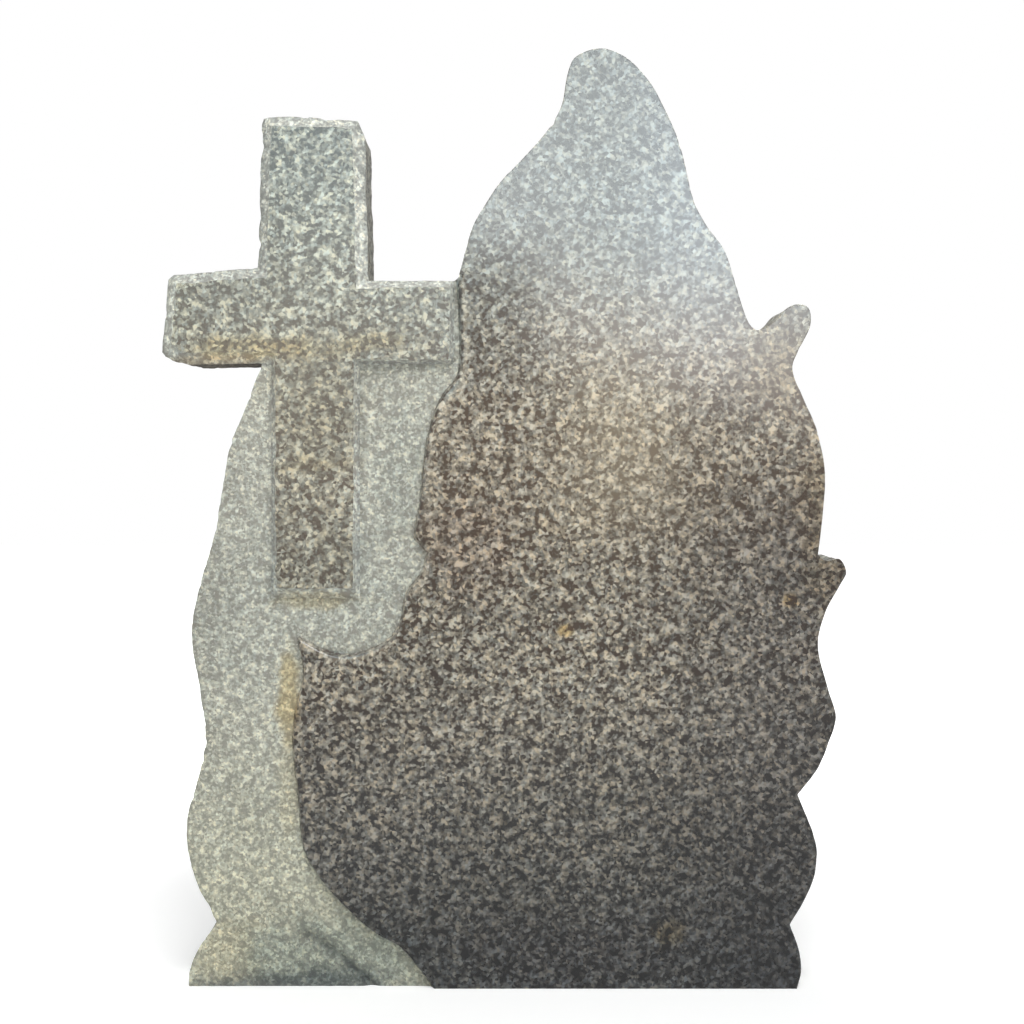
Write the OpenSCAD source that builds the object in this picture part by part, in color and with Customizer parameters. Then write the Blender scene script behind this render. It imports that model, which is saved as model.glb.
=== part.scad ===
// Granite memorial stele: one upright slab with a leaning, flame-shaped
// polished field on the right and a Latin cross on the left, both standing
// proud of a needled ground, on a foot sawn flat.
// Millimetres, +Z up. The worked face looks along -Y. The origin is the middle
// of the foot.

/* [Slab] */
// Height from the foot to the tip of the flame
height = 1100; // [950:10:1400]
// Width from the end of the left arm to the lower side stub
width = 804; // [700:2:1000]
// Thickness from the sawn back to the polished faces
thickness = 100; // [60:5:160]

/* [Relief] */
// How far the needled ground lies behind the polished faces
ground_depth = 10; // [4:1:25]

/* [Cross] */
// Distance from the tip of the slab down to the top of the cross
cross_drop = 80; // [40:5:160]
// Distance from the axis of the cross to the end of the left arm
arm_left = 182; // [150:1:210]
// Distance from the axis of the cross to the end of the right arm
arm_right = 163; // [130:1:180]
// Height of the right arm
arm_h = 99; // [80:1:130]
// How much higher the top of the left arm meets the post
arm_rise = 15; // [0:1:20]
// Length of the post above the right arm
post_len = 190; // [120:5:240]
// Width of the post at its top
post_top_w = 122; // [90:1:140]
// Width of the post where it meets the arms
post_base_w = 132; // [100:1:150]
// Width of the stem below the arms
stem_w = 104; // [80:1:130]
// Length of the stem below the arms
stem_len = 271; // [200:1:300]
// Width of the pitched margin round the post and the arms
margin_w = 14; // [8:1:20]
// Width of the pitched margin round the stem
stem_margin_w = 6; // [3:1:12]
// Width of the sunk channel between the right arm and the field
channel_w = 5; // [4:1:40]
// Distance from the bottom of the stem down to the bottom of the sunk lobe
lobe_drop = 72; // [50:2:100]

/* [Hidden] */

// Longest straight step along a curved outline
curve_step = 11;

// Level of the ground, measured forward from the sawn back
ground_level = thickness - ground_depth;

// Guide lines of the cross. The post and the margins lean a little to the
// left of the axis, which runs down the middle of the stem.
cross_x = arm_left - width / 2;
post_x = cross_x - 3;
post_top_z = height - cross_drop;
arm_top_z = post_top_z - post_len;
arm_bottom_z = arm_top_z - arm_h;
stem_bottom_z = arm_bottom_z - stem_len;
lobe_bottom_z = stem_bottom_z - lobe_drop;
field_x = cross_x + arm_right + channel_w;

// The free outlines are drawn on a sheet 804 wide and 1100 high. These tables
// move the sheet's guide lines onto the sizes above.
guide_x = [[-402, -width / 2], [-52, field_x], [402, width / 2]];
guide_z = [[0, 0], [388, lobe_bottom_z], [731, arm_bottom_z],
           [830, arm_top_z], [1100, height]];

// Left edge of the slab, from the foot to the waist above it, then up to the
// underside of the left arm
foot_left = [[-369, 0], [-370, 15], [-362, 38], [-338, 74]];
side_left = [[-338, 74], [-360, 120], [-371, 158], [-372, 198], [-359, 245],
             [-351, 290], [-356, 340], [-367, 415], [-357, 471], [-342, 524],
             [-331, 583], [-321, 636], [-304, 680], [-284, 731]];

// Right edge, from the foot upwards: a foot, two scallops with the lower stub,
// the long shoulder with the upper stub, and over the tip of the flame
foot_right = [[344, 0], [349, 20], [347, 44], [336, 75]];
scallop_low = [[336, 75], [354, 106], [366, 138], [366, 172], [345, 227]];
scallop_high = [[345, 227], [369, 258], [382, 290], [390, 318], [381, 350],
                [369, 401], [378, 441], [394, 471], [402, 487], [394, 503],
                [378, 501], [369, 508]];
shoulder = [[369, 508], [375, 560], [377, 605], [367, 655], [352, 690],
            [339, 724], [346, 746], [360, 776], [358, 796], [346, 801],
            [332, 796], [320, 783], [308, 774]];
flame = [[308, 774], [296, 771], [286, 782], [269, 836], [259, 864],
         [239, 892], [224, 920], [207, 988], [188, 1032], [171, 1062],
         [143, 1090], [114, 1100], [85, 1090], [76, 1072], [68, 1032],
         [52, 1004], [28, 976], [-1, 946], [-21, 917], [-36, 889],
         [-52, 833]];

// Inner edge of the polished field, from the right arm down: past the stem to
// a small tooth, round the lobe under the stem, and the long sweep to the foot
edge_stem = [[-52, 833], [-49, 780], [-51, 720], [-70, 692], [-82, 662],
             [-90, 620], [-96, 565], [-102, 528]];
edge_lobe = [[-86, 510], [-94, 486], [-112, 460], [-118, 430], [-133, 406],
             [-160, 393], [-186, 388], [-212, 394], [-239, 409]];
edge_sweep = [[-239, 409], [-232, 368], [-241, 328], [-244, 285],
              [-238, 225], [-232, 165], [-215, 133], [-187, 99],
              [-151, 67], [-118, 47], [-79, 0]];

// A sheet point moved to its place on the slab
function placed(p) = [lookup(p.x, guide_x), lookup(p.y, guide_z)];

// Direction of a curve at knot i: the chord between its neighbours, divided
// by the way through the knot
function heading(k, i) =
    let (a = k[max(i - 1, 0)], b = k[i], c = k[min(i + 1, len(k) - 1)])
    (c - a) / (norm(c - b) + norm(b - a));

// Cubic from knot i to the next, at fraction t of the way
function cubic(k, i, t) =
    let (chord = norm(k[i + 1] - k[i]))
    k[i] * (1 + 2 * t) * pow(1 - t, 2)
    + heading(k, i) * chord * t * pow(1 - t, 2)
    + k[i + 1] * t * t * (3 - 2 * t)
    - heading(k, i + 1) * chord * t * t * (1 - t);

// A smooth curve through every knot, without its last point
function curve(knots) =
    let (k = [for (p = knots) placed(p)])
    [for (i = [0 : len(k) - 2])
        let (steps = max(2, ceil(norm(k[i + 1] - k[i]) / curve_step)))
        for (s = [0 : steps - 1]) cubic(k, i, s / steps)];

// Inward normal of the edge that starts at vertex i of an anticlockwise
// outline
function inward(o, i) =
    let (d = o[(i + 1) % len(o)] - o[i])
    [-d.y, d.x] / norm(d);

// The outline moved inwards by a distance, mitred at its corners
function inset(o, distance) =
    [for (i = [0 : len(o) - 1])
        let (a = inward(o, (i + len(o) - 1) % len(o)), b = inward(o, i))
        o[i] + (a + b) * distance / (1 + a * b)];

// Anticlockwise outline of the polished field
field_outline = concat(curve(foot_right), curve(scallop_low),
                       curve(scallop_high), curve(shoulder), curve(flame),
                       curve(edge_stem), [placed([-102, 528])],
                       curve(edge_lobe), curve(edge_sweep),
                       [placed([-79, 0])]);

// The ground runs up the left edge, behind the arms, along the channel beside
// the right arm and down well inside the field
ground_outline = concat(curve(foot_left), curve(side_left),
                        [for (p = [[-284, 731], [-284, 760], [-200, 760],
                                   [-200, 829], [-30, 829], [-30, 0]])
                            placed(p)]);

// Post and arms, anticlockwise from the lower corner of the left arm, which
// is broken off at a slant
head_outline =
    [[cross_x - arm_left, arm_bottom_z + 10],
     [cross_x - arm_left + 22, arm_bottom_z],
     [cross_x + arm_right, arm_bottom_z],
     [cross_x + arm_right, arm_top_z],
     [post_x + post_base_w / 2, arm_top_z],
     [post_x + post_top_w / 2, post_top_z],
     [post_x - post_top_w / 2, post_top_z],
     [post_x - post_base_w / 2, arm_top_z + arm_rise],
     [cross_x - arm_left + 8, arm_top_z + arm_rise / 3]];

// The stem starts under the face of the arms, so the two faces run together
stem_top_z = arm_bottom_z + arm_h / 2;
stem_outline =
    [[cross_x - stem_w / 2, stem_bottom_z],
     [cross_x + stem_w / 2, stem_bottom_z],
     [cross_x + stem_w / 2, stem_top_z],
     [cross_x - stem_w / 2, stem_top_z]];

// Everything up to the level of the ground, on the sawn back
module slab() {
    linear_extrude(ground_level) {
        polygon(field_outline);
        polygon(ground_outline);
        polygon(head_outline);
    }
}

// The polished field, standing on the slab
module field() {
    translate([0, 0, ground_level])
        linear_extrude(ground_depth) polygon(field_outline);
}

// A limb of the cross, standing on the slab: its margin slopes from the
// outline up to the level of the field, margin wide
module limb(outline, margin) {
    n = len(outline);
    low = [for (p = outline) [p.x, p.y, ground_level]];
    high = [for (p = inset(outline, margin)) [p.x, p.y, thickness]];
    bed = [for (i = [0 : n - 1]) i];
    face = [for (i = [n - 1 : -1 : 0]) n + i];
    slopes = [for (i = [0 : n - 1])
        let (j = (i + 1) % n)
        [i, n + i, n + j, j]];
    polyhedron(points = concat(low, high),
               faces = concat([bed], [face], slopes));
}

module stele() {
    color([0.62, 0.62, 0.58])
    translate([0, thickness / 2, 0])
    rotate([90, 0, 0])
    union() {
        slab();
        field();
        limb(head_outline, margin_w);
        limb(stem_outline, stem_margin_w);
    }
}

stele();
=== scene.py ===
import bpy
import numpy as np
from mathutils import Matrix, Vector
from mathutils.geometry import delaunay_2d_cdt


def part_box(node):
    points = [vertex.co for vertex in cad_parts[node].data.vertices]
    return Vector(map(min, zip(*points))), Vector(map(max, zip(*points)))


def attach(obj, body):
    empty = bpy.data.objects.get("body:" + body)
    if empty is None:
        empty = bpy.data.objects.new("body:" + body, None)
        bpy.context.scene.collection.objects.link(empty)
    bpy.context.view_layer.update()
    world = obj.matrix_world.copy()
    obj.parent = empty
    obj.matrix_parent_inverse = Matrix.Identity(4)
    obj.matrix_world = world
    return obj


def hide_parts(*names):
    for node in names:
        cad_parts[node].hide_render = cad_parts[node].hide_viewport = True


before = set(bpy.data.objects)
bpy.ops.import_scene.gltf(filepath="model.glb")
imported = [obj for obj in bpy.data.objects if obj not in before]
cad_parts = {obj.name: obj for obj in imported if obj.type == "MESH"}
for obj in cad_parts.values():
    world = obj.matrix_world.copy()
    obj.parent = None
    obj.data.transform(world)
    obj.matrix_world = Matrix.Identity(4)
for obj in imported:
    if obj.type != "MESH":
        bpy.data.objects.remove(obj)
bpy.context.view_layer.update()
low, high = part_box("stele")

# What a user may change about the stone, in metres.
slab = {
    "groundDepth": 0.010,     # needled ground behind the polished faces
    "stepRun": 0.0030,        # how far the step beside the polished field runs out
    "arrisWidth": 0.0018,     # worn arris along the polished field
    "arrisDepth": 0.0006,
    "rimWidth": 0.0008,       # and along the slab's own outline
    "rimShown": 0.6,          # the part of that width with the finish of the arris
    "needling": 0.00035,      # height of the tool marks on the ground
    "needleSize": 0.0058,     # and their size, for the coarse and the fine ones
    "needleFine": 0.0031,
    "swell": 0.0011,          # slow waves of the ground
    "swellSize": 0.075,
    "pitching": 0.0012,       # roughness of the pitched margins
    "pitchingSize": 0.011,
    "workedFrom": 0.0012,     # tool marks begin this far behind the polished plane
    "workedFull": 0.0040,     # and are at their full height from here
    "edgeWear": 0.0020,       # the slab's front edge, worn back
    "edgeWearWidth": 0.0050,
    "edgeWearSize": 0.020,
    "grooveDepth": 0.0030,    # the groove that runs down to the foot on the left
    "grooveWidth": 0.0050,
    "handCut": 0.0008,        # how far the lines of the field and the cross wander
    "handCutSize": 0.020,     # and over what length
    "faceCut": 0.0020,        # the same for the edge of the cross's face
    "faceCutSize": 0.014,
    "nibble": 0.0020,         # ragged outline of the rough parts
    "nibblePolished": 0.0006,  # and of the polished field
    "nibbleSize": 0.016,
    "chip": 0.0016,           # small chips in the outline, in the same two places
    "chipPolished": 0.0004,
    "chipSize": 0.011,
    "backWear": 0.0012,       # the slab's back edge, worn back
    "rock": 0.0036,           # how far the pitched sides fall back at mid thickness
    "rockSize": 0.034,        # size of the lumps on the sides
    "calmOutline": 0.010,     # the ragged outline fades in over this height above the foot
    "calmEdge": 0.012,        # the worn edge over this one
    "calmSides": 0.014,       # and the fall of the sides over this one
    "rows": 19,               # rows of points from the front of a side to its back
    "crowding": 0.35,         # the share by which the first and last rows lie closer
    "loopStep": 0.0026,       # spacing along outlines
    "fineStep": 0.0023,       # spacing of points where the stone is rough
    "flatStep": 0.0075,       # and where it is flat
    "backStep": 0.030,        # and on the sawn back
    "clear": 0.0011,          # no loose point comes closer to a line than this
    "clearLine": 0.0012,      # and no point of a line closer to the outline
    "clearStep": 0.0020,
    "clearFlat": 0.0030,      # nor closer than this where the stone is flat
    "clearBack": 0.0120,
    "sharpAngle": 32,         # degrees past which two faces meet in a sharp edge
}

# The outlines are drawn in millimetres on a sheet of this width and height, which is then
# laid on the slab's own box. X runs to the right from the middle, z up from the foot.
sheetSize = (804.0, 1100.0)

footLeft = [(-369, 0), (-370, 15), (-362, 38), (-338, 74)]
sideLeft = [(-338, 74), (-360, 120), (-371, 158), (-372, 198), (-359, 245), (-351, 290),
            (-356, 340), (-367, 415), (-357, 471), (-342, 524), (-331, 583), (-321, 636),
            (-304, 680), (-284, 731)]
footRight = [(344, 0), (349, 20), (347, 44), (336, 75)]
scallopLow = [(336, 75), (354, 106), (366, 138), (366, 172), (345, 227)]
scallopHigh = [(345, 227), (369, 258), (382, 290), (390, 318), (381, 350), (369, 401),
               (378, 441), (394, 471), (402, 487), (394, 503), (378, 501), (369, 508)]
shoulder = [(369, 508), (375, 560), (377, 605), (367, 655), (352, 690), (339, 724),
            (346, 746), (360, 776), (358, 796), (346, 801), (332, 796), (320, 783),
            (308, 774)]
flame = [(308, 774), (296, 771), (286, 782), (269, 836), (259, 864), (239, 892),
         (224, 920), (207, 988), (188, 1032), (171, 1062), (143, 1090), (114, 1100),
         (85, 1090), (76, 1072), (68, 1032), (52, 1004), (28, 976), (-1, 946),
         (-21, 917), (-36, 889), (-52, 833)]
edgeStem = [(-52, 833), (-49, 780), (-51, 720), (-70, 692), (-82, 662), (-90, 620),
            (-96, 565), (-102, 528)]
edgeTooth = [(-102, 528), (-86, 510)]
edgeLobe = [(-86, 510), (-94, 486), (-112, 460), (-118, 430), (-133, 406), (-160, 393),
            (-186, 388), (-212, 394), (-239, 409)]
edgeSweep = [(-239, 409), (-232, 368), (-241, 328), (-244, 285), (-238, 225),
             (-232, 165), (-215, 133), (-187, 99), (-151, 67), (-118, 47), (-79, 0)]

# The free outline of the post and arms, from the channel to the left armpit, with a
# chipped corner on the post and a broken corner under the left arm
postAndArms = [(-57, 830), (-157, 830), (-160.5, 985), (-162, 1000), (-167, 1011),
               (-170, 1018), (-240, 1023), (-284, 1022), (-289, 845), (-387, 837),
               (-394, 831), (-402, 745), (-398, 738), (-372, 729)]
crossFace = [(-265, 468), (-175, 468), (-174, 736), (-63, 735), (-61, 821), (-171, 819),
             (-176, 1006), (-271, 1010), (-276, 833), (-381, 825), (-387, 754),
             (-373, 744), (-266, 744)]


def onSlab(points):
    # Sheet points moved to the slab's box: each way by its share of the sheet.
    points = np.asarray(points, float)
    x = (low.x + high.x) / 2 + points[:, 0] / sheetSize[0] * (high.x - low.x)
    z = low.z + points[:, 1] / sheetSize[1] * (high.z - low.z)
    return np.stack([x, z], axis=1)


def smoothCurve(knots, steps=24):
    # Cubic through every knot. The slope at a knot is the chord between its two
    # neighbours divided by the way through the knot.
    k = onSlab(knots)
    way = np.linalg.norm(np.diff(k, axis=0), axis=1)
    before = np.vstack([k[:1], k[:-1]])
    after = np.vstack([k[1:], k[-1:]])
    slope = (after - before) / (np.r_[0, way] + np.r_[way, 0])[:, None]
    t = (np.arange(steps) / steps)[None, :, None]
    chord = way[:, None, None]
    points = (k[:-1, None] * (1 + 2 * t) * (1 - t) ** 2
              + slope[:-1, None] * chord * t * (1 - t) ** 2
              + k[1:, None] * t ** 2 * (3 - 2 * t)
              - slope[1:, None] * chord * t ** 2 * (1 - t))
    return np.vstack([points.reshape(-1, 2), k[-1:]])


def evenly(line, step):
    # The same line with evenly spaced points, without its last one.
    way = np.r_[0, np.cumsum(np.linalg.norm(np.diff(line, axis=0), axis=1))]
    at = np.linspace(0, way[-1], max(2, int(round(way[-1] / step)) + 1))[:-1]
    return np.stack([np.interp(at, way, line[:, i]) for i in (0, 1)], axis=1)


def polyline(corners, step, closed=False):
    # Straight stretches between corners, each evenly divided, so corners stay.
    c = onSlab(corners)
    c = np.vstack([c, c[:1]]) if closed else c
    return np.vstack([evenly(c[i:i + 2], step) for i in range(len(c) - 1)])


def joined(parts, step):
    # Several lines end to end, each with evenly spaced points.
    return np.vstack([evenly(part, step) for part in parts])


def leftNormals(loop):
    # Unit normals on the left of a closed loop: inwards, as the loops run anticlockwise.
    d = np.roll(loop, -2, axis=0) - np.roll(loop, 2, axis=0)
    d /= np.maximum(np.linalg.norm(d, axis=1), 1e-12)[:, None]
    return np.stack([-d[:, 1], d[:, 0]], axis=1)


def hashed(cells, seed):
    # A random number from 0 to 1 for each row of whole numbers.
    primes = np.array([73856093, 19349663, 83492791], np.int64)[:cells.shape[1]]
    key = (np.bitwise_xor.reduce(cells * primes, axis=1) + seed * 668265263) & 0xffffffff
    key = ((key ^ (key >> 15)) * 2246822519) & 0xffffffff
    key = ((key ^ (key >> 13)) * 3266489917) & 0xffffffff
    return ((key ^ (key >> 16)) & 0xffffff) / float(0xffffff)


def softNoise(points, size, seed):
    # Random numbers on a lattice of that size, blended by 3t^2 - 2t^3 between its
    # corners: -1 to 1.
    q = points / size
    cell = np.floor(q).astype(np.int64)
    f = q - cell
    f = f * f * (3 - 2 * f)
    total = np.zeros(len(points))
    for corner in np.ndindex(*(2,) * points.shape[1]):
        weight = np.prod(np.where(np.array(corner), f, 1 - f), axis=1)
        total += weight * hashed(cell + np.array(corner), seed)
    return 2 * total - 1


def layeredNoise(points, size, seed, layers=3, fall=0.5):
    # Soft noise, each layer half as large and weaker by the fall.
    parts = [softNoise(points, size / 2 ** i, seed + 31 * i) * fall ** i for i in range(layers)]
    return sum(parts) / sum(fall ** i for i in range(layers))


def distanceTo(points, line, closed=True):
    # Shortest distance from each point to the stretches of a line. The points are
    # handled square by square, each square only with the stretches that can be nearest.
    a = line if closed else line[:-1]
    b = np.roll(line, -1, axis=0) if closed else line[1:]
    middle, half = (a + b) / 2, np.linalg.norm(b - a, axis=1) / 2
    squareSize = 0.03
    square = np.floor(points / squareSize).astype(np.int64)
    order = np.lexsort((square[:, 1], square[:, 0]))
    change = np.any(np.diff(square[order], axis=0), axis=1)
    found = np.empty(len(points))
    for group in np.split(order, np.flatnonzero(change) + 1):
        p = points[group]
        away = np.linalg.norm(middle - (p.min(0) + p.max(0)) / 2, axis=1)
        near = away - half <= (away + half).min() + np.linalg.norm(p.max(0) - p.min(0)) + 1e-9
        along = (b - a)[near]
        offset = p[:, None] - a[near]
        size = np.maximum((along ** 2).sum(1), 1e-18)
        t = np.clip((offset * along).sum(2) / size, 0, 1)
        found[group] = np.sqrt(((offset - t[..., None] * along) ** 2).sum(2).min(1))
    return found


def isInside(points, loop):
    # Whether a ray from each point towards +X crosses the loop an odd number of times.
    a, b = loop, np.roll(loop, -1, axis=0)
    bottom, top = np.minimum(a[:, 1], b[:, 1]), np.maximum(a[:, 1], b[:, 1])
    order = np.argsort(points[:, 1])
    found = np.empty(len(points), bool)
    bandSize = 400  # points handled at a time, from the lowest up
    for band in np.array_split(order, len(order) // bandSize + 1):
        x, z = points[band, :1], points[band, 1:]
        near = (bottom <= z.max()) & (top > z.min())
        c, d = a[near], b[near]
        spans = (c[:, 1] > z) != (d[:, 1] > z)
        run = np.where(d[:, 1] == c[:, 1], 1e-18, d[:, 1] - c[:, 1])
        cut = c[:, 0] + (z - c[:, 1]) * (d[:, 0] - c[:, 0]) / run
        found[band] = (spans & (x < cut)).sum(1) % 2 == 1
    return found


def ramp(value, start, end):
    # From 0 at the start to 1 at the end, eased by 3t^2 - 2t^3.
    t = np.clip((value - start) / (end - start), 0, 1)
    return t * t * (3 - 2 * t)


# The lines of the front. The field's outer parts come first in every loop that has them.
step = slab["loopStep"]
fieldParts = [smoothCurve(k) for k in (footRight, scallopLow, scallopHigh, shoulder, flame)]
innerParts = [smoothCurve(edgeStem), onSlab(edgeTooth), smoothCurve(edgeLobe),
              smoothCurve(edgeSweep)]
footOfField = onSlab([(-79, 0), (344, 0)])
leftParts = [smoothCurve(sideLeft)[::-1], smoothCurve(footLeft)[::-1]]
footOfSlab = onSlab([(-369, 0), (344, 0)])
pastChannel = onSlab([(-52, 833), (-57, 830)])

outerCount = len(joined(fieldParts, step))
innerCount = len(joined(innerParts, step))
bareOutline = np.vstack([joined(fieldParts, step), evenly(pastChannel, step),
                         polyline(postAndArms + [(-284, 731)], step), joined(leftParts, step),
                         evenly(footOfSlab, step)])
fieldLoop = np.vstack([joined(fieldParts + innerParts, step), evenly(footOfField, step)])


def wobbled(loop, amount, size, seed):
    # A hand-cut line: each point moved along its normal by soft noise.
    return loop + leftNormals(loop) * (amount * layeredNoise(loop, size, seed))[:, None]


# Larger nicks in the outline: x and z on the sheet, then depth and half width in metres.
nicks = [(-285, 1021, 0.0030, 0.006), (-286, 985, 0.0035, 0.009), (-288, 872, 0.0030, 0.005),
         (-287, 905, 0.0018, 0.012), (-372, 300, 0.0020, 0.012), (-345, 92, 0.0020, 0.008),
         (-160, 930, 0.0012, 0.014), (58, 1012, 0.0020, 0.004), (206, 985, 0.0012, 0.004),
         (-401, 790, 0.0018, 0.006)]


def raggedOutline():
    # The slab's outline, nibbled inwards by noise: more on the rough parts than on the
    # polished field, with bell-shaped nicks, and not at all along the foot.
    loop = bareOutline
    rough = np.arange(len(loop)) >= outerCount
    amount = np.where(rough, slab["nibble"], slab["nibblePolished"])
    bite = amount * (0.5 + 0.5 * layeredNoise(loop, slab["nibbleSize"], 5, layers=3, fall=0.7))
    chip = np.where(rough, slab["chip"], slab["chipPolished"])
    bite += chip * ramp(softNoise(loop, slab["chipSize"], 9), 0.35, 0.9)
    for x, z, depth, width in nicks:
        place = onSlab([(x, z)])[0]
        away = np.linalg.norm(loop - place, axis=1)
        bite += depth * np.exp(-(away / width) ** 2)
    bite *= ramp(loop[:, 1] - low.z, 0.0, slab["calmOutline"])
    return loop + leftNormals(loop) * bite[:, None]


def fieldCrest():
    # The field's upper edge: a hand-cut line inside the slab, and well clear of the
    # slab where the two outlines run together, so that nothing steps down there.
    loop = wobbled(fieldLoop, slab["handCut"], slab["handCutSize"], 21)
    order = np.arange(len(loop))
    inner = (order >= outerCount) & (order < outerCount + innerCount)
    return loop - leftNormals(loop) * np.where(inner, 0.0, 0.006)[:, None]


outline = raggedOutline()
crest = fieldCrest()
grooveLine = smoothCurve([(-228, 60), (-208, 48), (-190, 34), (-172, 18), (-150, -4)])
stemOutline = [(-272, 456), (-168, 456), (-168, 731), (-57, 731)]
cross = wobbled(polyline(stemOutline + postAndArms + [(-272, 730)], step, closed=True),
                slab["handCut"], slab["handCutSize"], 23)
face = wobbled(polyline(crossFace, step, closed=True), slab["faceCut"], slab["faceCutSize"], 25)


def shifted(loop, distance):
    # A loop moved inwards by a distance, or outwards by a negative one.
    return loop + leftNormals(loop) * distance


def frontLevel(p):
    # How far a point of the front lies behind the polished plane. The field and the
    # cross are two plateaus: each falls from its crest to the ground by the share of
    # the way to the line at its foot, and the higher of the two shows.
    inField = isInside(p, crest)
    toCrest = distanceTo(p, crest)
    toEdge = distanceTo(p, outline)
    fromRim = np.minimum(toCrest / slab["arrisWidth"], toEdge / slab["rimWidth"])
    arris = slab["arrisDepth"] * (1 - np.clip(fromRim, 0, 1)) ** 1.5
    fall = np.clip(toCrest / slab["stepRun"], 0, 1) * slab["groundDepth"]
    field = np.where(inField, arris, np.minimum(slab["arrisDepth"] + fall, slab["groundDepth"]))
    inCross, inFace = isInside(p, cross), isInside(p, face)
    toFace, toFoot = distanceTo(p, face), distanceTo(p, cross)
    share = toFace / np.maximum(toFace + toFoot, 1e-9)
    slope = slab["groundDepth"] * share ** 0.85
    plateau = np.where(inFace, 0.0, np.where(inCross, slope, slab["groundDepth"]))
    level = np.minimum(field, plateau)

    # Tool marks fade out on the polished faces.
    rough = ramp(level, slab["workedFrom"], slab["workedFull"])
    margin = inCross & ~inFace
    coarse = softNoise(p, slab["needleSize"], 41)
    fine = softNoise(p, slab["needleFine"], 42)
    marks = slab["needling"] * (coarse + 0.7 * fine)
    swell = slab["swell"] * layeredNoise(p, slab["swellSize"], 43)
    pitched = slab["pitching"] * layeredNoise(p, slab["pitchingSize"], 45, layers=3, fall=0.6)
    level = level + rough * (marks + np.where(margin, pitched, swell))

    # The front edge is worn back unevenly, and not along the foot.
    wear = (1 - np.clip(toEdge / slab["edgeWearWidth"], 0, 1)) ** 2
    uneven = 0.55 + 0.45 * layeredNoise(p, slab["edgeWearSize"], 47)
    lifted = ramp(p[:, 1] - low.z, 0.0, slab["calmEdge"])
    level = level + slab["edgeWear"] * wear * uneven * lifted * np.where(inField, 0.0, 1.0)

    # The groove is a bell across its line.
    groove = distanceTo(p, grooveLine, closed=False) / slab["grooveWidth"]
    level = level + rough * slab["grooveDepth"] * np.exp(-groove ** 2)
    return np.maximum(level, 0.0)


# Stains, with some painted light and shade among them: x and z of the middle and half the width
# and height on the sheet, the shares of red, green and blue that the stone keeps under them, and how much
# of that shows.
ochre = (1.0, 0.82, 0.52)
paintedBrownShade = (0.88, 0.70, 0.50)
darkBlue = (0.36, 0.39, 0.45)
brown = (0.84, 0.78, 0.68)
paintedShadowBlue = (0.62, 0.70, 0.80)
cool = (0.67, 0.74, 0.79)
dull = (0.84, 0.86, 0.87)
reddish = (0.87, 0.79, 0.77)
smoky = (0.88, 0.89, 0.90)
murky = (0.76, 0.73, 0.75)
paintedHighlight = (1.25, 1.25, 1.22)
stains = [
    # The first two paint a yellow reflection down the left edge of the polished field.
    ((-252, 338), (16, 62), ochre, 0.75),
    ((-252, 235), (13, 70), ochre, 0.22),
    # Darker and bluer along the left part of the foot.
    ((-232, 2), (135, 25), darkBlue, 0.9),
    ((-300, 752), (85, 16), ochre, 0.75),
    ((-150, 757), (48, 12), ochre, 0.6),
    # Painted shade: a brown band along the underside of the left arm.
    ((-335, 734), (75, 9), paintedBrownShade, 0.6),
    ((-222, 612), (55, 12), ochre, 0.45),
    ((-222, 690), (62, 75), brown, 0.6),
    ((-218, 455), (58, 13), ochre, 0.5),
    ((-125, 610), (42, 75), dull, 0.8),
    # Painted shadow: a dark blue line along the lower edge of the field's lobe.
    ((-186, 386), (62, 8), paintedShadowBlue, 0.5),
    ((-320, 40), (45, 40), ochre, 0.2),
    ((-200, 32), (125, 50), cool, 0.8),
    ((-190, 475), (90, 85), dull, 0.9),
    ((-300, 430), (70, 120), dull, 0.6),
    ((-222, 748), (70, 16), ochre, 0.5),
    ((322, 742), (55, 62), ochre, 0.4),
    ((376, 540), (32, 120), ochre, 0.4),
    ((-38, 520), (60, 75), reddish, 0.8),
    ((-70, 420), (110, 95), smoky, 0.8),
    ((70, 45), (150, 50), murky, 0.8),
    # A painted highlight lightens the left end of the left arm.
    ((-388, 790), (32, 55), paintedHighlight, 1.0),
]


grimeAndShade = {
    "ragged": 0.45,           # how far noise moves the rim of a stain, in its own radii
    "raggedSize": 0.018,
    "crossSeam": 0.0045,      # how far painted shade and dirt reach from the foot of the cross
    "fieldSeam": 0.0055,      # from the polished field
    "grooveSeam": 0.0065,     # and from the line of the groove
    "seamShadeAndDirt": 0.28,         # the share of light that painted shade and dirt take there
    "grooveShadeAndDirt": 0.75,
    "paintedRightShade": 0.42,        # the share that painted shade takes from the right side of the field
}


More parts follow.
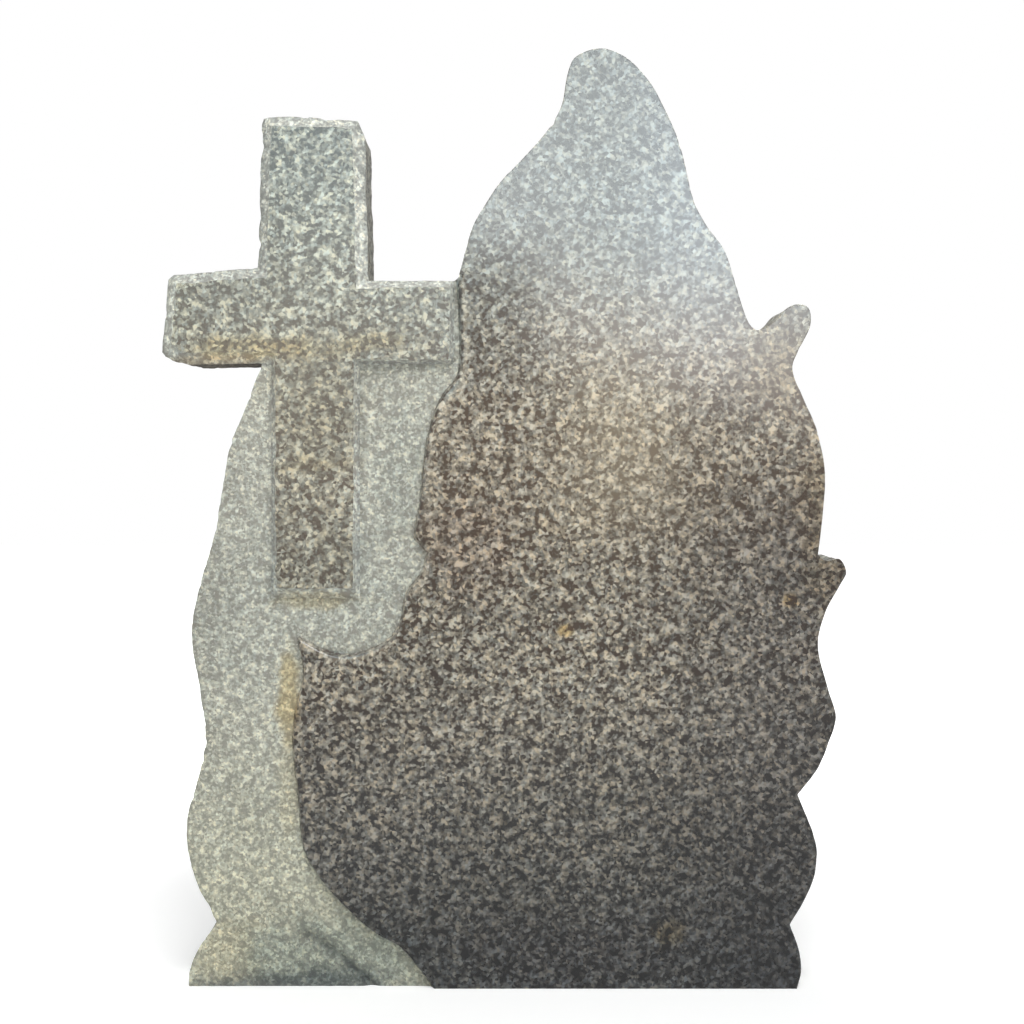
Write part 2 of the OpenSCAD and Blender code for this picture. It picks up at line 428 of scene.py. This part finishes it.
def weatherAndShadeColour(p, depth):
    # Each stain is an ellipse whose rim noise moves; a few of them are painted light and shade.
    # Painted shade, with some dirt, lies on the ground where it meets the cross and the field, along the
    # groove and in the hollows.
    kept = np.ones((len(p), 3))
    for index, (middle, (wide, tall), tint, strength) in enumerate(stains):
        away = np.linalg.norm((p - onSlab([middle])[0]) / (wide / 1000, tall / 1000), axis=1)
        rim = grimeAndShade["ragged"] * layeredNoise(p, grimeAndShade["raggedSize"], 90 + index)
        mask = ramp(away + rim, 1.2, 0.4)
        kept *= 1 - (strength * mask)[:, None] * (1 - np.array(tint))
    # Painted shade with some dirt along the seams and the groove.
    onGround = (depth > 0.006) & ~isInside(p, crest)
    seam = np.exp(-(distanceTo(p, cross) / grimeAndShade["crossSeam"]) ** 2)
    seam += np.exp(-(distanceTo(p, crest) / grimeAndShade["fieldSeam"]) ** 2)
    groove = np.exp(-(distanceTo(p, grooveLine, closed=False) / grimeAndShade["grooveSeam"]) ** 2)
    shadeAndDirt = grimeAndShade["seamShadeAndDirt"] * seam + grimeAndShade["grooveShadeAndDirt"] * groove
    shadeAndDirt = np.clip(shadeAndDirt, 0, grimeAndShade["grooveShadeAndDirt"])
    shadeAndDirt *= 0.75 + 0.25 * layeredNoise(p, 0.012, 88)
    kept *= 1 - np.where(onGround, shadeAndDirt, 0)[:, None] * np.array([0.95, 0.93, 0.88])

    # Painted shade: the polished stone is darker down its right side.
    (startX, startZ), (endX, endZ) = onSlab([(80, 680), (340, 520)])
    right = ramp(p[:, 0], startX, endX) * ramp(p[:, 1], startZ, endZ) * isInside(p, crest)
    kept *= 1 - grimeAndShade["paintedRightShade"] * right[:, None] * np.array([1.0, 1.0, 0.9])
    patches = 1 + 0.07 * layeredNoise(p, 0.09, 86, layers=4, fall=0.7)
    return kept * patches[:, None]


def hexGrid(spacing):
    # Points at the corners of even triangles over the slab's box, each moved by noise.
    rise = spacing * 0.866  # height of an even triangle
    rows = np.arange(low.z + rise / 2, high.z, rise)
    columns = np.arange(low.x, high.x, spacing)
    x, z = np.meshgrid(columns, rows)
    x = x + (np.arange(len(rows)) % 2)[:, None] * spacing / 2
    p = np.stack([x.ravel(), z.ravel()], axis=1)
    jitter = np.stack([softNoise(p, spacing * 0.7, s) for s in (61, 62)], axis=1)
    return p + jitter * spacing * 0.22


def triangulated(loop, loose):
    # Delaunay triangles over a loop and loose points, only those inside the loop. The
    # loop's own stretches stay as edges.
    order = np.arange(len(loop))
    edges = np.stack([order, np.roll(order, -1)], axis=1).tolist()
    millimetres = np.vstack([loop, loose]) * 1000.0
    found = delaunay_2d_cdt([Vector(p) for p in millimetres.tolist()], edges, [], 0, 1e-5, False)
    corners = np.array([tuple(v) for v in found[0]]) / 1000.0
    corners[:len(loop)] = loop  # the loop's own points come first, in order
    triangles = np.array(found[2])
    return corners, triangles[isInside(corners[triangles].mean(axis=1), loop)]


def frontSheet():
    # The front as a flat sheet of triangles in x and z: close points where the stone is
    # rough, wide ones where it is flat, and rows of points along every line.
    arrisLine = shifted(crest, slab["arrisWidth"])
    stepLine = shifted(crest, -slab["stepRun"])
    stepLine = stepLine[isInside(stepLine, outline) & (distanceTo(stepLine, outline) > slab["clearStep"])]
    fine = hexGrid(slab["fineStep"])
    flat = hexGrid(slab["flatStep"])
    rimLine = shifted(outline, slab["rimWidth"])
    away = distanceTo(rimLine, outline)
    rimLine = rimLine[isInside(rimLine, crest) & (away > 0.8 * slab["rimWidth"])]
    lines = [crest, arrisLine, cross, face]
    closest = np.min([distanceTo(fine, line) for line in [outline] + lines], axis=0)
    polished = isInside(fine, arrisLine) | isInside(fine, face)
    fine = fine[isInside(fine, outline) & ~polished & (closest > slab["clear"])]
    closest = np.min([distanceTo(flat, line) for line in [outline] + lines], axis=0)
    even = (isInside(flat, arrisLine) | isInside(flat, face)) & isInside(flat, outline)
    flat = flat[even & (closest > slab["clearFlat"])]
    rows = [line[isInside(line, outline) & (distanceTo(line, outline) > slab["clearLine"])]
            for line in lines]
    return triangulated(outline, np.vstack([fine, flat, stepLine, rimLine] + rows))


finishes = ["polished", "honed", "arris", "step", "pitched", "needled", "side", "sawn"]


def finishOf(middle):
    # Which finish each triangle of the front has, by where its middle lies.
    kinds = np.full(len(middle), finishes.index("needled"))
    inCrest, toCrest = isInside(middle, crest), distanceTo(middle, crest)
    onStep = ~inCrest & (toCrest < slab["stepRun"])
    kinds[onStep] = finishes.index("step")
    kinds[isInside(middle, cross) & ~inCrest] = finishes.index("pitched")
    kinds[isInside(middle, face)] = finishes.index("honed")
    kinds[inCrest] = finishes.index("polished")
    onRim = distanceTo(middle, outline) < slab["rimShown"] * slab["rimWidth"]
    kinds[inCrest & onRim] = finishes.index("arris")
    return kinds


def stoneMesh():
    # The whole skin: the front sheet at its levels, the sides and the sawn back.
    corners, triangles = frontSheet()
    level = frontLevel(corners)
    front = np.stack([corners[:, 0], low.y + level, corners[:, 1]], axis=1)
    kinds = [finishOf(corners[triangles].mean(axis=1))]
    print("front", len(corners), "points", len(triangles), "triangles")

    # The sides are the outline carried back row by row, with the rows closer together
    # near the two edges. In between the pitched stone falls back by a sine of the depth,
    # roughened by noise in three directions.
    depth = low.y + level[:len(outline)]
    share = np.linspace(0, 1, slab["rows"])
    share = share - slab["crowding"] * np.sin(2 * np.pi * share) / (2 * np.pi)
    y = depth[None] + (high.y - depth)[None] * share[:, None]
    x = np.broadcast_to(outline[:, 0], y.shape)
    z = np.broadcast_to(outline[:, 1], y.shape)
    place = np.stack([x, y, z], axis=2).reshape(-1, 3)
    lumps = layeredNoise(place, slab["rockSize"], 71, layers=4, fall=0.62).reshape(y.shape)
    belly = np.sin(np.pi * share)[:, None] ** 0.6
    sink = slab["rock"] * belly * (0.42 + 0.58 * lumps)
    sink += slab["backWear"] * ramp(share, 0.9, 1.0)[:, None] * (1 + lumps)
    sink *= ramp(outline[:, 1] - low.z, 0.0, slab["calmSides"])[None]
    inward = leftNormals(outline)
    x = x + inward[None, :, 0] * sink
    z = z + inward[None, :, 1] * sink
    side = np.stack([x, y, z], axis=2).reshape(-1, 3)
    n, rows = len(outline), slab["rows"]
    i, j = np.meshgrid(np.arange(n), np.arange(rows - 1))
    a, b = (j * n + i).ravel(), (j * n + (i + 1) % n).ravel()
    c, d = a + n, b + n
    sideTriangles = np.vstack([np.stack([a, c, b], 1), np.stack([b, c, d], 1)])
    atFoot = (np.abs(side[sideTriangles][:, :, 2] - low.z) < 1e-5).all(axis=1)
    kinds.append(np.where(atFoot, finishes.index("sawn"), finishes.index("side")))

    # The back is sawn flat, so a sparse grid inside the last row is enough.
    backLoop = side[-n:][:, [0, 2]]
    grid = hexGrid(slab["backStep"])
    grid = grid[isInside(grid, backLoop) & (distanceTo(grid, backLoop) > slab["clearBack"])]
    backCorners, backTriangles = triangulated(backLoop, grid)
    backY = np.full(len(backCorners), high.y)
    back = np.stack([backCorners[:, 0], backY, backCorners[:, 1]], axis=1)
    kinds.append(np.full(len(backTriangles), finishes.index("sawn")))

    # Painted shade: sides that face down are darker.
    sides = sideColour(np.vstack([side, back]))
    under = np.tile(ramp(inward[:, 1], 0.55, 0.9), rows)
    sides[:len(side)] *= 1 - under[:, None] * np.array([0.62, 0.66, 0.70])
    colours = np.vstack([weatherAndShadeColour(corners, level), sides])
    points = np.vstack([front, side, back])
    faces = np.vstack([triangles, sideTriangles + len(front),
                       backTriangles[:, ::-1] + len(front) + len(side)])
    kinds = np.concatenate(kinds)

    # Points that fall together are made one, so the skin is closed.
    _, first, merged = np.unique(np.round(points, 6), axis=0, return_index=True,
                                 return_inverse=True)
    faces = merged.ravel()[faces]
    a, b, c = faces.T
    whole = (a != b) & (b != c) & (a != c)
    return points[first], faces[whole], kinds[whole], colours[first]


def sideColour(points):
    # Ochre runs on the sides and back: noise drawn out in height darkens the stone, its
    # blue the most, by 1.4 times the noise where that is above zero and 0.8 below.
    streaks = layeredNoise(points * (1, 1, 0.35), 0.05, 95, layers=4, fall=0.65)
    tint = np.clip(streaks, -1, 1)[:, None] * np.array([[0.10, 0.12, 0.17]])
    return 1 - np.maximum(tint, 0) * 1.4 + np.minimum(tint, 0) * 0.8


def makeObject(name, points, faces, kinds, colours, materials):
    # Whole arrays put into a mesh: corners, triangles, finish and a colour of weather with painted light
    # and shade.
    data = bpy.data.meshes.new(name)
    data.vertices.add(len(points))
    data.vertices.foreach_set("co", points.astype(np.float32).ravel())
    data.loops.add(len(faces) * 3)
    data.loops.foreach_set("vertex_index", faces.astype(np.int32).ravel())
    data.polygons.add(len(faces))
    data.polygons.foreach_set("loop_start", np.arange(0, len(faces) * 3, 3, dtype=np.int32))
    data.polygons.foreach_set("material_index", kinds.astype(np.int32))
    for material in materials:
        data.materials.append(material)
    data.update(calc_edges=True)
    data.validate()
    stored = data.attributes.new("weatherAndShade", "FLOAT_COLOR", "POINT")
    rgba = np.hstack([colours, np.ones((len(colours), 1))])
    stored.data.foreach_set("color", rgba.astype(np.float32).ravel())
    data.shade_smooth()
    data.set_sharp_from_angle(angle=np.radians(slab["sharpAngle"]))
    made = bpy.data.objects.new(name, data)
    bpy.context.scene.collection.objects.link(made)
    return made


# Each finish: its colour before the crystals, its roughness, how strongly the crystals
# show, how large they are and how deep the tool pits are.
stoneColours = {
    "polished": {"tone": (0.168, 0.163, 0.154), "rough": 0.10,
                 "grain": 0.97, "size": 0.0076, "pits": 0.0},
    "honed": {"tone": (0.212, 0.206, 0.182), "rough": 0.24,
              "grain": 0.88, "size": 0.0076, "pits": 0.06},
    "arris": {"tone": (0.400, 0.400, 0.380), "rough": 0.5,
              "grain": 0.6, "size": 0.0076, "pits": 0.3},
    "step": {"tone": (0.270, 0.272, 0.268), "rough": 0.5,
             "grain": 0.8, "size": 0.0076, "pits": 0.4},
    "pitched": {"tone": (0.450, 0.460, 0.430), "rough": 0.8,
                "grain": 0.40, "size": 0.0064, "pits": 0.8},
    "needled": {"tone": (0.395, 0.398, 0.355), "rough": 0.85,
                "grain": 0.36, "size": 0.0062, "pits": 0.8},
    # The sides' tone is darker than the pitched margins' as painted shade.
    "side": {"tone": (0.33, 0.33, 0.31), "rough": 0.85,
             "grain": 0.55, "size": 0.0066, "pits": 1.0},
    "sawn": {"tone": (0.35, 0.35, 0.325), "rough": 0.6,
             "grain": 0.8, "size": 0.0076, "pits": 0.12},
}


class Nodes:
    # Short calls for building a node tree. A value may be a number or another node's socket.
    def __init__(self, tree):
        self.tree = tree

    def add(self, kind, values=None, links=None, **settings):
        node = self.tree.nodes.new(kind)
        for name, value in settings.items():
            setattr(node, name, value)
        for name, value in (values or {}).items():
            node.inputs[name].default_value = value
        for name, socket in (links or {}).items():
            self.tree.links.new(socket, node.inputs[name])
        return node

    def maths(self, operation, first, second=None, clamp=False):
        node = self.tree.nodes.new("ShaderNodeMath")
        node.operation = operation
        node.use_clamp = clamp
        for index, value in enumerate((first, second)):
            if value is None:
                continue
            if isinstance(value, (int, float)):
                node.inputs[index].default_value = value
            else:
                self.tree.links.new(value, node.inputs[index])
        return node.outputs[0]

    def mapped(self, value, fromLow, fromHigh, toLow=0.0, toHigh=1.0, smooth=True):
        node = self.tree.nodes.new("ShaderNodeMapRange")
        node.interpolation_type = "SMOOTHSTEP" if smooth else "LINEAR"
        self.tree.links.new(value, node.inputs["Value"])
        for name, number in (("From Min", fromLow), ("From Max", fromHigh),
                             ("To Min", toLow), ("To Max", toHigh)):
            if isinstance(number, (int, float)):
                node.inputs[name].default_value = number
            else:
                self.tree.links.new(number, node.inputs[name])
        return node.outputs["Result"]

    def mixed(self, factor, first, second, blend="MIX"):
        node = self.tree.nodes.new("ShaderNodeMix")
        node.data_type = "RGBA"
        node.blend_type = blend
        for index, value in ((0, factor), (6, first), (7, second)):
            if isinstance(value, (int, float)):
                node.inputs[index].default_value = value
            elif isinstance(value, tuple):
                node.inputs[index].default_value = value + (1.0,) * (4 - len(value))
            else:
                self.tree.links.new(value, node.inputs[index])
        return node.outputs[2]


def newGroup(name, inputs, outputs):
    # An empty shader node group with its named sockets.
    tree = bpy.data.node_groups.new(name, "ShaderNodeTree")
    for socket, kind, value in inputs:
        made = tree.interface.new_socket(socket, in_out="INPUT", socket_type=kind)
        if value is not None:
            made.default_value = value
    for socket, kind in outputs:
        tree.interface.new_socket(socket, in_out="OUTPUT", socket_type=kind)
    nodes = Nodes(tree)
    return tree, nodes, nodes.add("NodeGroupInput").outputs, nodes.add("NodeGroupOutput").inputs


def crystalGroup():
    # Crystals: small cells of random tone and tint. Soft noise leans whole patches of
    # them towards dark mica or pale feldspar, so that they clump. The lean and the
    # random tone together pick a colour from black through grey to cream. The colour
    # averages about one, and strength fades it all towards one.
    tree, n, given, made = newGroup(
        "graniteCrystals",
        [("Vector", "NodeSocketVector", None), ("Size", "NodeSocketFloat", 0.006),
         ("Strength", "NodeSocketFloat", 1.0),
         ("Dark Color", "NodeSocketColor", (0.15, 0.12, 0.10, 1))],
        [("Color", "NodeSocketColor"), ("Random", "NodeSocketFloat")])
    scale = n.maths("DIVIDE", 1.0, given["Size"])
    clump = n.add("ShaderNodeTexNoise", {"Detail": 2.5, "Roughness": 0.62},
                  {"Vector": given["Vector"]})
    tree.links.new(n.maths("MULTIPLY", scale, 0.62), clump.inputs["Scale"])
    cells = n.add("ShaderNodeTexVoronoi", {"Randomness": 1.0}, {"Vector": given["Vector"]})
    tree.links.new(n.maths("MULTIPLY", scale, 2.2), cells.inputs["Scale"])
    random = n.add("ShaderNodeSeparateColor", links={0: cells.outputs["Color"]})
    lean = n.maths("MULTIPLY", n.maths("SUBTRACT", clump.outputs[0], 0.5), 2.2)
    spread = n.mapped(random.outputs[0], 0.0, 1.0, 0.12, 0.88, smooth=False)
    tone = n.maths("ADD", lean, spread, clamp=True)
    tones = n.add("ShaderNodeValToRGB", links={0: tone})
    stops = tones.color_ramp
    stops.elements[0].position, stops.elements[0].color = 0.10, (0.10, 0.10, 0.10, 1)
    stops.elements[1].position, stops.elements[1].color = 1.0, (2.95, 2.90, 2.75, 1)
    for position, colour in ((0.30, (0.42, 0.41, 0.40, 1)), (0.46, (0.82, 0.82, 0.81, 1)),
                             (0.62, (1.28, 1.28, 1.26, 1)), (0.80, (1.95, 1.92, 1.84, 1))):
        stops.elements.new(position).color = colour
    tint = n.mixed(random.outputs[2], (1.08, 1.0, 0.87), (0.93, 1.0, 1.06))
    tinted = n.mixed(1.0, tones.outputs["Color"], tint, "MULTIPLY")
    whole = n.mixed(n.mapped(tone, 0.34, 0.14), tinted, given["Dark Color"])
    tree.links.new(n.mixed(given["Strength"], (1.0, 1.0, 1.0), whole), made["Color"])
    tree.links.new(random.outputs[1], made["Random"])
    return tree


def stainGroup():
    # A stain: one inside an ellipse, fading to nothing at its rim. Noise moves the rim.
    tree, n, given, made = newGroup(
        "stain",
        [("Vector", "NodeSocketVector", None), ("Centre", "NodeSocketVector", None),
         ("Radius", "NodeSocketVector", None), ("Ragged", "NodeSocketFloat", 0.6),
         ("Noise Size", "NodeSocketFloat", 0.012)],
        [("Mask", "NodeSocketFloat")])
    away = n.add("ShaderNodeVectorMath", links={0: given["Vector"], 1: given["Centre"]},
                 operation="SUBTRACT")
    share = n.add("ShaderNodeVectorMath", links={0: away.outputs[0], 1: given["Radius"]},
                  operation="DIVIDE")
    length = n.add("ShaderNodeVectorMath", links={0: share.outputs[0]}, operation="LENGTH")
    noise = n.add("ShaderNodeTexNoise", {"Detail": 3.0}, {"Vector": given["Vector"]})
    tree.links.new(n.maths("DIVIDE", 1.0, given["Noise Size"]), noise.inputs["Scale"])
    reach = n.maths("MULTIPLY", given["Ragged"], 2.0)
    shift = n.maths("MULTIPLY", n.maths("SUBTRACT", noise.outputs[0], 0.5), reach)
    rim = n.maths("ADD", length.outputs["Value"], shift)
    tree.links.new(n.mapped(rim, 1.15, 0.45), made["Mask"])
    return tree


def pitGroup():
    # Tool marks and pits: rounded hollows on a scatter of cells, between finer noise.
    tree, n, given, made = newGroup(
        "toolPits",
        [("Vector", "NodeSocketVector", None), ("Size", "NodeSocketFloat", 0.004)],
        [("Height", "NodeSocketFloat")])
    scale = n.maths("DIVIDE", 1.0, given["Size"])
    cells = n.add("ShaderNodeTexVoronoi", {"Randomness": 1.0},
                  {"Vector": given["Vector"], "Scale": scale}, feature="SMOOTH_F1")
    noise = n.add("ShaderNodeTexNoise", {"Detail": 4.0, "Roughness": 0.62},
                  {"Vector": given["Vector"]})
    tree.links.new(n.maths("MULTIPLY", scale, 1.4), noise.inputs["Scale"])
    height = n.maths("ADD", n.maths("MULTIPLY", cells.outputs["Distance"], 0.7), noise.outputs[0])
    tree.links.new(height, made["Height"])
    return tree


def weatheringGroup():
    # Broad uneven weathering: soft noise stretched to one less or more the amount.
    tree, n, given, made = newGroup(
        "broadWeathering",
        [("Vector", "NodeSocketVector", None), ("Scale", "NodeSocketFloat", 7.0),
         ("Amount", "NodeSocketFloat", 0.12)],
        [("Factor", "NodeSocketFloat")])
    noise = n.add("ShaderNodeTexNoise", {"Detail": 4.0, "Roughness": 0.6},
                  {"Vector": given["Vector"], "Scale": given["Scale"]})
    less = n.maths("SUBTRACT", 1.0, given["Amount"])
    more = n.maths("ADD", 1.0, given["Amount"])
    tree.links.new(n.mapped(noise.outputs[0], 0.3, 0.7, less, more), made["Factor"])
    return tree


crystals, stain, pits, weathering = crystalGroup(), stainGroup(), pitGroup(), weatheringGroup()

# Small rust spots in the polished stone: middle and radii on the sheet, then strength.
rustSpots = [((73, 420), (11, 9), 0.8), ((336, 455), (11, 9), 0.7), ((195, 65), (24, 20), 0.5)]
rustTint = (1.45, 1.12, 0.55)


def stoneMaterial(name):
    # One finish of the stone: its tone times crystals, weathering, a tint by height and the
    # stains with painted light and shade, with tool pits as bump.
    look = stoneColours[name]
    material = bpy.data.materials.new(name + "Granite")
    material.use_nodes = True
    tree = material.node_tree
    n = Nodes(tree)
    shader = tree.nodes["Principled BSDF"]
    place = n.add("ShaderNodeTexCoord").outputs["Object"]

    def use(group, values):
        return n.add("ShaderNodeGroup", values, {"Vector": place}, node_tree=group)

    height = n.add("ShaderNodeSeparateXYZ", links={0: place}).outputs["Z"]
    grain = use(crystals, {"Size": look["size"], "Strength": look["grain"]})
    # Mica looks brown in the middle of the stone and black at its foot and tip.
    middle = n.maths("MULTIPLY", n.mapped(height, 0.15, 0.45), n.mapped(height, 1.0, 0.7))
    mica = n.mixed(middle, (0.13, 0.13, 0.14), (0.22, 0.13, 0.085))
    tree.links.new(mica, grain.inputs["Dark Color"])
    colour = n.mixed(1.0, look["tone"], grain.outputs["Color"], "MULTIPLY")

    broad = use(weathering, {"Scale": 7.0, "Amount": 0.12})
    colour = n.mixed(1.0, colour, broad.outputs["Factor"], "MULTIPLY")
    if name in ("polished", "step"):
        # Painted shade: dark and cool at the foot. Brownish in the middle, grey above.
        lower = n.mixed(n.mapped(height, 0.0, 0.42), (0.25, 0.265, 0.29), (1.03, 0.96, 0.86))
        tint = n.mixed(n.mapped(height, 0.62, 0.9), lower, (0.66, 0.75, 0.78))
        colour = n.mixed(1.0, colour, tint, "MULTIPLY")
    if name == "honed":
        tint = n.mixed(n.mapped(height, 0.46, 0.95), (0.84, 0.82, 0.78), (0.86, 0.93, 0.95))
        colour = n.mixed(1.0, colour, tint, "MULTIPLY")
    if name in ("needled", "side", "pitched"):
        tint = n.mixed(n.mapped(height, 0.45, 0.05), (1.0, 1.0, 1.0), (0.96, 0.95, 0.87))
        colour = n.mixed(1.0, colour, tint, "MULTIPLY")
    weatherAndShade = n.add("ShaderNodeAttribute", attribute_name="weatherAndShade", attribute_type="GEOMETRY")
    colour = n.mixed(1.0, colour, weatherAndShade.outputs["Color"], "MULTIPLY")
    spots = rustSpots if name == "polished" else []
    for (x, z), (wide, tall), strength in spots:
        spot = onSlab([(x, z)])[0]
        mask = use(stain, {"Centre": (spot[0], low.y, spot[1]),
                           "Radius": (wide / 1000, 0.03, tall / 1000)})
        rusted = n.mixed(1.0, colour, rustTint, "MULTIPLY")
        colour = n.mixed(n.maths("MULTIPLY", mask.outputs[0], strength), colour, rusted)
    tree.links.new(colour, shader.inputs["Base Color"])

    uneven = n.maths("MULTIPLY", grain.outputs["Random"], 0.05)
    rough = n.maths("ADD", look["rough"], uneven, clamp=True)
    tree.links.new(rough, shader.inputs["Roughness"])
    shader.inputs["IOR"].default_value = 1.6
    if look["pits"]:
        marks = use(pits, {"Size": 0.0042})
        bump = n.add("ShaderNodeBump", {"Strength": look["pits"], "Distance": 0.0016},
                     {"Height": marks.outputs["Height"]})
        tree.links.new(bump.outputs[0], shader.inputs["Normal"])
    return material


points, faces, kinds, colours = stoneMesh()
print("stone", len(points), "points", len(faces), "triangles")
stone = makeObject("graniteStele", points, faces, kinds, colours,
                   [stoneMaterial(finish) for finish in finishes])
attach(stone, "root")
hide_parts("stele")
print("materials done")


def plane(name, corners, material):
    # A flat sheet of the studio, which isn't part of the object.
    data = bpy.data.meshes.new(name)
    data.from_pydata(corners, [], [(0, 1, 2, 3)])
    data.materials.append(material)
    made = bpy.data.objects.new(name, data)
    bpy.context.scene.collection.objects.link(made)
    return made


floor = {
    "half": 9,                # half the width of the floor
    "paint": 0.80,
    "nearGlow": 0.35,         # glow beside the stone, which grows to one
    "glowFrom": 0.3,          # between these distances from the middle of its foot
    "glowFull": 1.6,
}


def floorPaint():
    # Pale paint. For the camera it also glows a little, more with distance from the
    # stone, so that it runs into the white behind it and keeps the stone's shadow.
    material = bpy.data.materials.new("floorPaint")
    material.use_nodes = True
    tree = material.node_tree
    n = Nodes(tree)
    shader = tree.nodes["Principled BSDF"]
    shader.inputs["Base Color"].default_value = (floor["paint"],) * 3 + (1,)
    shader.inputs["Roughness"].default_value = 1.0
    shader.inputs["Specular IOR Level"].default_value = 0.0
    shader.inputs["Emission Color"].default_value = (1, 1, 1, 1)
    place = n.add("ShaderNodeTexCoord").outputs["Object"]
    away = n.add("ShaderNodeVectorMath", links={0: place}, operation="LENGTH").outputs["Value"]
    seen = n.add("ShaderNodeLightPath").outputs["Is Camera Ray"]
    glowing = n.mapped(away, floor["glowFrom"], floor["glowFull"], floor["nearGlow"], 1.0)
    glow = n.maths("MULTIPLY", seen, glowing)
    tree.links.new(glow, shader.inputs["Emission Strength"])
    return material


card = {
    "left": -1.9, "right": 1.9, "bottom": 0.2, "top": 3.0, "y": -6.0,
    "slant": 0.21,            # how much lower the bright part begins a metre to the right
    "brightFrom": 1.03,       # height at which it begins in the middle
    "brightFull": 1.38,
    "streakX": 0.57,          # middle of the lighter streak
    "streakWidth": 0.44,      # and how far it reaches to either side
}


def cardLight():
    # The soft front light: bright above a gently slanting line and brightest on the
    # right, dim and a little warm under it, with one lighter streak and a lighter left
    # end. Left of the middle the dim part reaches higher.
    material = bpy.data.materials.new("cardLight")
    material.use_nodes = True
    tree = material.node_tree
    tree.nodes.clear()
    n = Nodes(tree)
    place = n.add("ShaderNodeTexCoord").outputs["Object"]
    parts = n.add("ShaderNodeSeparateXYZ", links={0: place})
    x, z = parts.outputs["X"], parts.outputs["Z"]
    above = n.maths("ADD", z, n.maths("MULTIPLY", x, card["slant"]))
    shade = n.maths("MULTIPLY", n.mapped(x, 0.20, 0.045), n.mapped(z, 1.80, 1.56), clamp=True)
    bright = n.mapped(above, card["brightFrom"], card["brightFull"])
    sky = n.maths("MULTIPLY", bright, n.maths("SUBTRACT", 1.0, shade))
    left = n.maths("MULTIPLY", n.mapped(x, -0.40, -0.75), n.mapped(z, 0.1, 1.6, 0.15, 1.0))
    aside = n.maths("ABSOLUTE", n.maths("SUBTRACT", x, card["streakX"]))
    inStreak = n.mapped(aside, card["streakWidth"], 0.05)
    streak = n.maths("MULTIPLY", inStreak, n.mapped(z, 0.02, 0.62))
    warm = n.mixed(streak, (1.15, 1.0, 0.85), (4.7, 4.1, 3.0))
    warm = n.mixed(left, warm, (5.4, 5.0, 4.0))
    across = n.mapped(x, card["left"], card["right"], smooth=False)
    along = n.add("ShaderNodeValToRGB", links={0: across})
    stops = along.color_ramp
    stops.elements[0].position, stops.elements[0].color = 0.33, (0.39, 0.50, 0.52, 1)
    stops.elements[1].position, stops.elements[1].color = 0.93, (0.68, 0.71, 0.70, 1)
    for position, colour in ((0.45, (0.76, 0.80, 0.80, 1)), (0.64, (0.64, 0.69, 0.69, 1)),
                             (0.76, (0.83, 0.91, 0.97, 1))):
        stops.elements.new(position).color = colour
    fading = n.mixed(n.mapped(above, 1.30, 1.95), (8.7, 7.6, 6.9), (10.0, 10.0, 10.0))
    cold = n.mixed(1.0, along.outputs["Color"], fading, "MULTIPLY")
    colour = n.mixed(sky, warm, cold)
    glow = n.add("ShaderNodeEmission", {"Strength": 1.0}, {"Color": colour})
    n.add("ShaderNodeOutputMaterial", links={"Surface": glow.outputs[0]})
    return material


half = floor["half"]
plane("floor", [(-half, -half, 0), (half, -half, 0), (half, half, 0), (-half, half, 0)],
      floorPaint())
left, right, bottom, top, cardY = (card[k] for k in ("left", "right", "bottom", "top", "y"))
frontCard = plane("frontCard", [(left, cardY, bottom), (left, cardY, top), (right, cardY, top),
                                (right, cardY, bottom)], cardLight())
frontCard.visible_camera = False


def softLamp(name, place, target, size, power):
    # A round lamp that lights the stone but isn't seen, itself or in a reflection.
    data = bpy.data.lights.new(name, "AREA")
    data.shape = "DISK"
    data.size = size
    data.energy = power
    made = bpy.data.objects.new(name, data)
    bpy.context.scene.collection.objects.link(made)
    made.location = place
    made.rotation_euler = (Vector(target) - Vector(place)).to_track_quat("-Z", "Y").to_euler()
    made.visible_camera = False
    made.visible_glossy = False
    return made


stoneMiddle = (0, 0, 0.5)
softLamp("overhead", place=(0.4, -1.6, 3.2), target=stoneMiddle, size=1.6, power=72)
softLamp("behind", place=(-1.2, 2.6, 2.8), target=stoneMiddle, size=2.0, power=45)


evenLight = 0.22  # strength of the light from all round


def studioWorld():
    # White where the camera and reflections see it, and a weak even light otherwise.
    world = bpy.data.worlds.new("studio")
    bpy.context.scene.world = world
    world.use_nodes = True
    tree = world.node_tree
    n = Nodes(tree)
    background = tree.nodes["Background"]
    background.inputs["Color"].default_value = (1, 1, 1, 1)
    ray = n.add("ShaderNodeLightPath").outputs
    mirrored = n.maths("MAXIMUM", ray["Is Glossy Ray"], ray["Is Transmission Ray"])
    seen = n.maths("MAXIMUM", ray["Is Camera Ray"], mirrored)
    strength = n.mapped(seen, 0.0, 1.0, evenLight, 1.0, smooth=False)
    tree.links.new(strength, background.inputs["Strength"])


studioWorld()
print("floor and light done")

# The camera looks straight at the front, a little aside of the middle. The frame's width
# is measured at the front of the stone, and the drop moves the frame, not the camera.
view = {"distance": 1.75, "height": 0.618, "aside": 0.0108, "frameWidth": 1.197,
        "drop": -0.0604, "sensor": 36}
camera = bpy.data.objects.new("camera", bpy.data.cameras.new("camera"))
bpy.context.scene.collection.objects.link(camera)
bpy.context.scene.camera = camera
camera.location = (view["aside"], low.y - view["distance"], view["height"])
camera.rotation_euler = (np.pi / 2, 0, 0)
camera.data.sensor_width = view["sensor"]
camera.data.lens = view["sensor"] * view["distance"] / view["frameWidth"]
camera.data.shift_y = view["drop"] / view["frameWidth"]

bpy.context.scene.view_settings.view_transform = "Standard"
